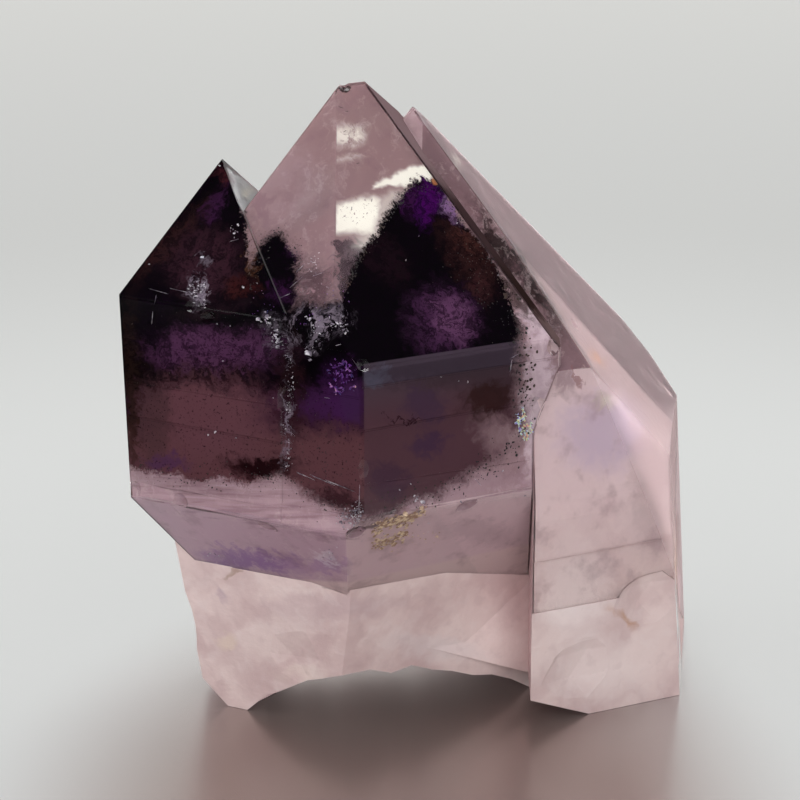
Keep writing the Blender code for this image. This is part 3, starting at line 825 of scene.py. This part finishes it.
def seen(u, v, under=0.08):
    """The place that shows at pixel (u, v) of the front picture, just under the skin, and its way out."""
    span = 2 * math.tan(FRAME_ANGLE / 2) / PICTURE
    ray = (forward + Vector((1, 0, 0)) * (u - MIDDLE) * span + upward * (MIDDLE - v) * span).normalized()
    point, out, _, _ = skin_faces.ray_cast(eye, ray)
    if point is None:
        return None, None
    out = out if out.dot(ray) < 0 else -out
    return point - out * under * MM, out


def laid(u, v, size, turn=None, under=0.08, tip=0.0):
    """Where a small form goes: its place in the front picture, its size in millimetres and its turn."""
    point, out = seen(u, v, under)
    if point is None:
        return None
    spin = chance.uniform(0, 360) if turn is None else turn
    lie = out.to_track_quat("Z", "Y").to_matrix().to_4x4() @ Matrix.Rotation(math.radians(spin), 4, "Z")
    stretch = Matrix.Diagonal((*size, 1.0))
    return Matrix.Translation(point) @ lie @ Matrix.Rotation(math.radians(tip), 4, "X") @ stretch


def strewn(corners, count, spread):
    """Places strewn along a line of the front picture."""
    lengths = [math.dist(a, b) for a, b in zip(corners, corners[1:])]
    for _ in range(count):
        (ax, ay), (bx, by) = chance.choices(list(zip(corners, corners[1:])), lengths)[0]
        part = chance.random()
        aside, down = chance.gauss(0, spread), chance.gauss(0, spread)
        yield ax + (bx - ax) * part + aside, ay + (by - ay) * part + down


def gathered(name, form, places, material):
    """One piece made of copies of a small form, each at its own place, turn and size."""
    points = [point.co.copy() for point in form.data.vertices]
    sides = [tuple(face.vertices) for face in form.data.polygons]
    all_points, all_sides = [], []
    for place in places:
        if place is not None:
            start = len(all_points)
            all_points += [place @ point for point in points]
            all_sides += [tuple(start + index for index in side) for side in sides]
    mesh = bpy.data.meshes.new(name)
    mesh.from_pydata(all_points, [], all_sides)
    mesh.materials.append(material)
    made = bpy.data.objects.new(name, mesh)
    bpy.context.scene.collection.objects.link(made)
    bpy.data.objects.remove(form)
    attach(made, "root")
    return made


def grain_form():
    """A grain one millimetre across, to be sized where it is laid."""
    bpy.ops.object.select_all(action="DESELECT")
    bpy.ops.mesh.primitive_ico_sphere_add(subdivisions=1, radius=0.5 * MM)
    made = bpy.context.object
    bpy.ops.object.mode_set(mode="EDIT")
    bpy.ops.transform.vertex_random(offset=0.12 * MM, seed=3)
    bpy.ops.object.mode_set(mode="OBJECT")
    return made


def size_of(low, high, long=1.6, thick=0.4):
    """A random grain size between two, somewhat longer than wide."""
    wide = low + (high - low) * chance.random() ** 2
    return wide * chance.uniform(1.0, long), wide, wide * thick


# Each trail: its corners in pixels of the front picture, the number of grains, how far they spread in
# pixels, and their least and most size in millimetres. Each needle or hairline: its place, length and turn.
SPECK_TRAILS = (
    ([(413, 181), (392, 212), (367, 246), (345, 290)], 230, 2.2, 0.05, 0.17),
    ([(413, 181), (424, 190), (437, 184), (474, 236), (508, 288)], 170, 3.5, 0.04, 0.13),
    ([(508, 288), (522, 335), (526, 372), (524, 424), (508, 452)], 190, 6.0, 0.05, 0.26),
    ([(508, 452), (465, 480), (430, 497), (372, 514)], 190, 8.0, 0.04, 0.15),
    ([(355, 518), (320, 500), (290, 478), (215, 480), (165, 476), (133, 464)], 260, 6.0, 0.04, 0.13),
    ([(300, 420), (340, 470), (345, 505)], 150, 16.0, 0.03, 0.1),
    ([(255, 275), (262, 240), (280, 228), (298, 245), (300, 275)], 150, 3.5, 0.04, 0.14),
    ([(245, 225), (252, 262), (250, 290)], 60, 2.5, 0.04, 0.1),
    ([(140, 330), (280, 370), (280, 440)], 170, 30.0, 0.03, 0.09),
    ([(450, 240), (500, 320)], 110, 13.0, 0.04, 0.11),
)
DARK_NEEDLES = (
    (478, 462, 0.3, 20), (484, 468, 0.26, -40), (495, 472, 0.34, 10), (488, 474, 0.3, 70),
    (462, 478, 0.26, 60), (511, 447, 0.3, 70), (500, 455, 0.28, -10), (520, 383, 0.36, 80),
    (527, 396, 0.3, 60), (523, 402, 0.32, 20), (517, 372, 0.5, 75), (434, 497, 0.24, 80),
    (464, 494, 0.3, 90), (441, 482, 0.24, 40),
)
DARK_HAIRLINES = (
    (341, 107, 0.5, -28), (347, 111, 0.35, -10), (510, 345, 0.7, -60), (514, 350, 0.5, -75),
    (372, 200, 0.4, 60), (352, 208, 0.35, 70), (358, 163, 0.35, 5), (345, 131, 0.4, 20),
)
NEEDLE, HAIRLINE = (0.09, 0.06), (0.05, 0.05)
OXIDE_BLACK, OXIDE_BROWN = (0.004, 0.002, 0.003), (0.035, 0.013, 0.008)
places = []
for corners, count, spread, low, high in SPECK_TRAILS:
    for u, v in strewn(corners, count, spread):
        places.append(laid(u, v, size_of(low, high), under=chance.uniform(0.04, 0.12)))
for u, v, long, turn in DARK_NEEDLES:
    places.append(laid(u, v, (long, *NEEDLE), turn, under=0.07))
for u, v, long, turn in DARK_HAIRLINES:
    places.append(laid(u, v, (long, *HAIRLINE), turn, under=0.07))
made, shader, place = new_material("iron_oxide")
rust = place.noise(0.6, 2.0).rise(0.45, 0.62)
link(rust.over(OXIDE_BLACK, OXIDE_BROWN), shader, "Base Color")
shader.inputs["Roughness"].default_value = 0.6
gathered("oxide_specks", grain_form(), places, made)

# Bright fluid-filled cracks: a trail of broken flakes down the seam between the two crystals, scuffed spots
# and pinprick specks. Each flake is a thin jagged plate that catches the light.
def flake_form():
    """A thin jagged plate one millimetre across, to be sized where it is laid."""
    bpy.ops.object.select_all(action="DESELECT")
    bpy.ops.mesh.primitive_circle_add(vertices=7, radius=0.5 * MM, fill_type="NGON")
    made = bpy.context.object
    bpy.ops.object.mode_set(mode="EDIT")
    bpy.ops.transform.vertex_random(offset=0.22 * MM, seed=5)
    bpy.ops.mesh.extrude_region_move(TRANSFORM_OT_translate={"value": (0, 0, 0.08 * MM)})
    bpy.ops.mesh.select_all(action="SELECT")
    bpy.ops.mesh.normals_make_consistent(inside=False)
    bpy.ops.object.mode_set(mode="OBJECT")
    return made


def flakes(corners, count, spread, low, high, tilt=35.0, narrow=0.55):
    """Flakes strewn along a trail, each with a random size and tip."""
    for u, v in strewn(corners, count, spread):
        wide = low + (high - low) * chance.random() ** 2
        size = (wide, wide * chance.uniform(narrow * 0.5, narrow * 1.5), 0.5)
        yield laid(u, v, size, under=chance.uniform(0.04, 0.11), tip=chance.uniform(-tilt, tilt))


FLAKE_TRAILS = (
    ([(264, 316), (272, 326), (278, 340), (284, 346)], 60, 3.0, 0.05, 0.4),
    ([(286, 352), (290, 372), (289, 400), (286, 425), (291, 440), (286, 468)], 120, 2.2, 0.03, 0.15),
    ([(300, 268), (316, 270), (304, 290), (330, 280)], 26, 4.0, 0.04, 0.16),
    ([(308, 318), (316, 330), (312, 350)], 26, 3.0, 0.05, 0.34),
    ([(326, 316), (332, 330), (342, 314), (346, 332)], 26, 1.5, 0.05, 0.34),
    ([(192, 296), (198, 284), (204, 298), (196, 304)], 90, 3.5, 0.05, 0.24),
    ([(338, 521), (358, 508), (358, 523), (346, 523)], 170, 3.0, 0.04, 0.18),
    ([(308, 262), (316, 258)], 16, 3.0, 0.04, 0.14),
    ([(378, 540), (425, 530)], 24, 6.0, 0.04, 0.14),
    ([(232, 224), (236, 236)], 10, 3.0, 0.05, 0.16),
    ([(415, 497), (418, 500)], 6, 1.5, 0.06, 0.22),
    ([(205, 560), (212, 552), (218, 560)], 12, 3.0, 0.06, 0.2),
    ([(325, 555), (335, 550), (330, 560)], 14, 4.0, 0.05, 0.2),
)
PINPRICKS = (
    (208, 435, 0.16), (215, 432, 0.22), (238, 225, 0.2), (234, 233, 0.22), (243, 287, 0.24),
    (202, 257, 0.3), (149, 264, 0.12), (457, 223, 0.1), (419, 236, 0.1), (406, 260, 0.1),
    (498, 275, 0.1), (441, 377, 0.1), (459, 381, 0.12), (468, 382, 0.2), (400, 490, 0.2),
    (411, 484, 0.12), (461, 502, 0.22), (503, 471, 0.2), (525, 496, 0.2), (265, 312, 0.2),
    (308, 353, 0.6), (423, 502, 0.45), (310, 360, 0.3), (273, 398, 0.1), (257, 283, 0.1),
    (230, 326, 0.1), (217, 324, 0.1), (223, 361, 0.12), (236, 438, 0.1),
)
THIN_CRACKS = (
    (515, 356, 0.65, 18), (511, 366, 0.9, 80), (478, 482, 0.85, -48), (359, 500, 2.2, 88),
    (338, 345, 0.5, 20), (327, 398, 0.45, -5), (300, 268, 0.9, 60), (296, 282, 1.2, 55),
    (318, 274, 0.9, 30), (284, 296, 0.9, 35), (155, 300, 0.7, 80), (152, 318, 1.0, 84),
    (234, 240, 0.7, 25), (340, 486, 2.6, -12), (322, 480, 2.2, -14), (305, 476, 1.6, -14),
    (158, 291, 1.8, -6), (178, 290, 1.6, -4),
)
CRACK_GREY, CRACK_PALE = (0.22, 0.18, 0.24), (0.80, 0.76, 0.82)
places = []
for corners, count, spread, low, high in FLAKE_TRAILS:
    places += list(flakes(corners, count, spread, low, high))
for u, v, wide in PINPRICKS:
    places.append(laid(u, v, (wide, wide * 0.7, 0.6), under=0.07))
for u, v, long, turn in THIN_CRACKS:
    places.append(laid(u, v, (long, 0.035, 0.5), turn, under=0.07))
made, shader, place = new_material("bright_crack")
shade = place.noise(3.0, 3.0).rise(0.42, 0.62)
link(shade.over(CRACK_GREY, CRACK_PALE), shader, "Base Color")
shader.inputs["Roughness"].default_value = 0.4
gathered("bright_flakes", flake_form(), places, made)

# Coloured glints: the rainbow chip at the right edge of the band, and the violet and blue sparkle beside
# the seam. Both are thin cracks whose films colour the light.
RAINBOW_STOPS = [
    (0.36, (0.4, 0.24, 0.8)),
    (0.42, (0.4, 0.7, 0.9)),
    (0.46, (0.96, 0.94, 0.96)),
    (0.54, (0.6, 0.85, 0.45)),
    (0.6, (0.9, 0.8, 0.45)),
    (0.66, (0.9, 0.42, 0.4)),
]
RAINBOW_TRAIL = [(525, 408), (519, 424), (526, 440), (530, 424)]
places = list(flakes(RAINBOW_TRAIL, 90, 2.4, 0.10, 0.40))
made, shader, place = new_material("rainbow_film")
hue = place.noise(4.0, 2.0)
film = hue.node("ShaderNodeValToRGB", {"stops": RAINBOW_STOPS}, {0: hue})
link(film, shader, "Base Color")
shader.inputs["Roughness"].default_value = 0.3
gathered("rainbow_chip", flake_form(), places, made)

VIOLET_STOPS = [
    (0.34, (0.03, 0.05, 0.3)),
    (0.42, (0.04, 0.008, 0.09)),
    (0.5, (0.1, 0.014, 0.2)),
    (0.58, (0.24, 0.05, 0.38)),
    (0.66, (0.5, 0.24, 0.6)),
    (0.74, (0.85, 0.5, 0.34)),
]
SPARKLE_TRAIL = [(330, 370), (338, 364), (350, 376), (344, 390), (332, 384)]
HEAD_GLINTS = [(300, 330), (330, 300), (345, 290)]
SEAM_GLINTS = [(268, 300), (262, 320)]
places = list(flakes(SPARKLE_TRAIL, 80, 4.5, 0.08, 0.42))
places += list(flakes(HEAD_GLINTS, 30, 8.0, 0.04, 0.14))
places += list(flakes(SEAM_GLINTS, 16, 8.0, 0.04, 0.12))
made, shader, place = new_material("violet_film")
hue = place.noise(3.4, 2.0)
film = hue.node("ShaderNodeValToRGB", {"stops": VIOLET_STOPS}, {0: hue})
link(film, shader, "Base Color")
shader.inputs["Roughness"].default_value = 0.4
gathered("violet_sparkle", flake_form(), places, made)

# A yellow-brown crust of limonite grains, dried on where the head's two lower faces meet.
CRUST_TRAILS = (
    ([(376, 528), (394, 522), (414, 517), (424, 509)], 170, 2.6, 0.14, 0.5),
    ([(376, 546), (388, 540), (396, 542), (408, 530)], 110, 3.0, 0.12, 0.42),
    ([(374, 530), (378, 546)], 30, 1.6, 0.12, 0.34),
    ([(392, 546), (440, 535)], 26, 4.0, 0.08, 0.2),
)
LIMONITE_BROWN, LIMONITE_CREAM = (0.46, 0.28, 0.20), (0.95, 0.78, 0.56)
places = []
for corners, count, spread, low, high in CRUST_TRAILS:
    for u, v in strewn(corners, count, spread):
        places.append(laid(u, v, size_of(low, high, 1.4, 0.25), under=0.06))
made, shader, place = new_material("limonite")
tone = place.noise(3.0, 3.0).rise(0.4, 0.64)
link(tone.over(LIMONITE_BROWN, LIMONITE_CREAM), shader, "Base Color")
shader.inputs["Roughness"].default_value = 0.8
gathered("limonite_crust", grain_form(), places, made)
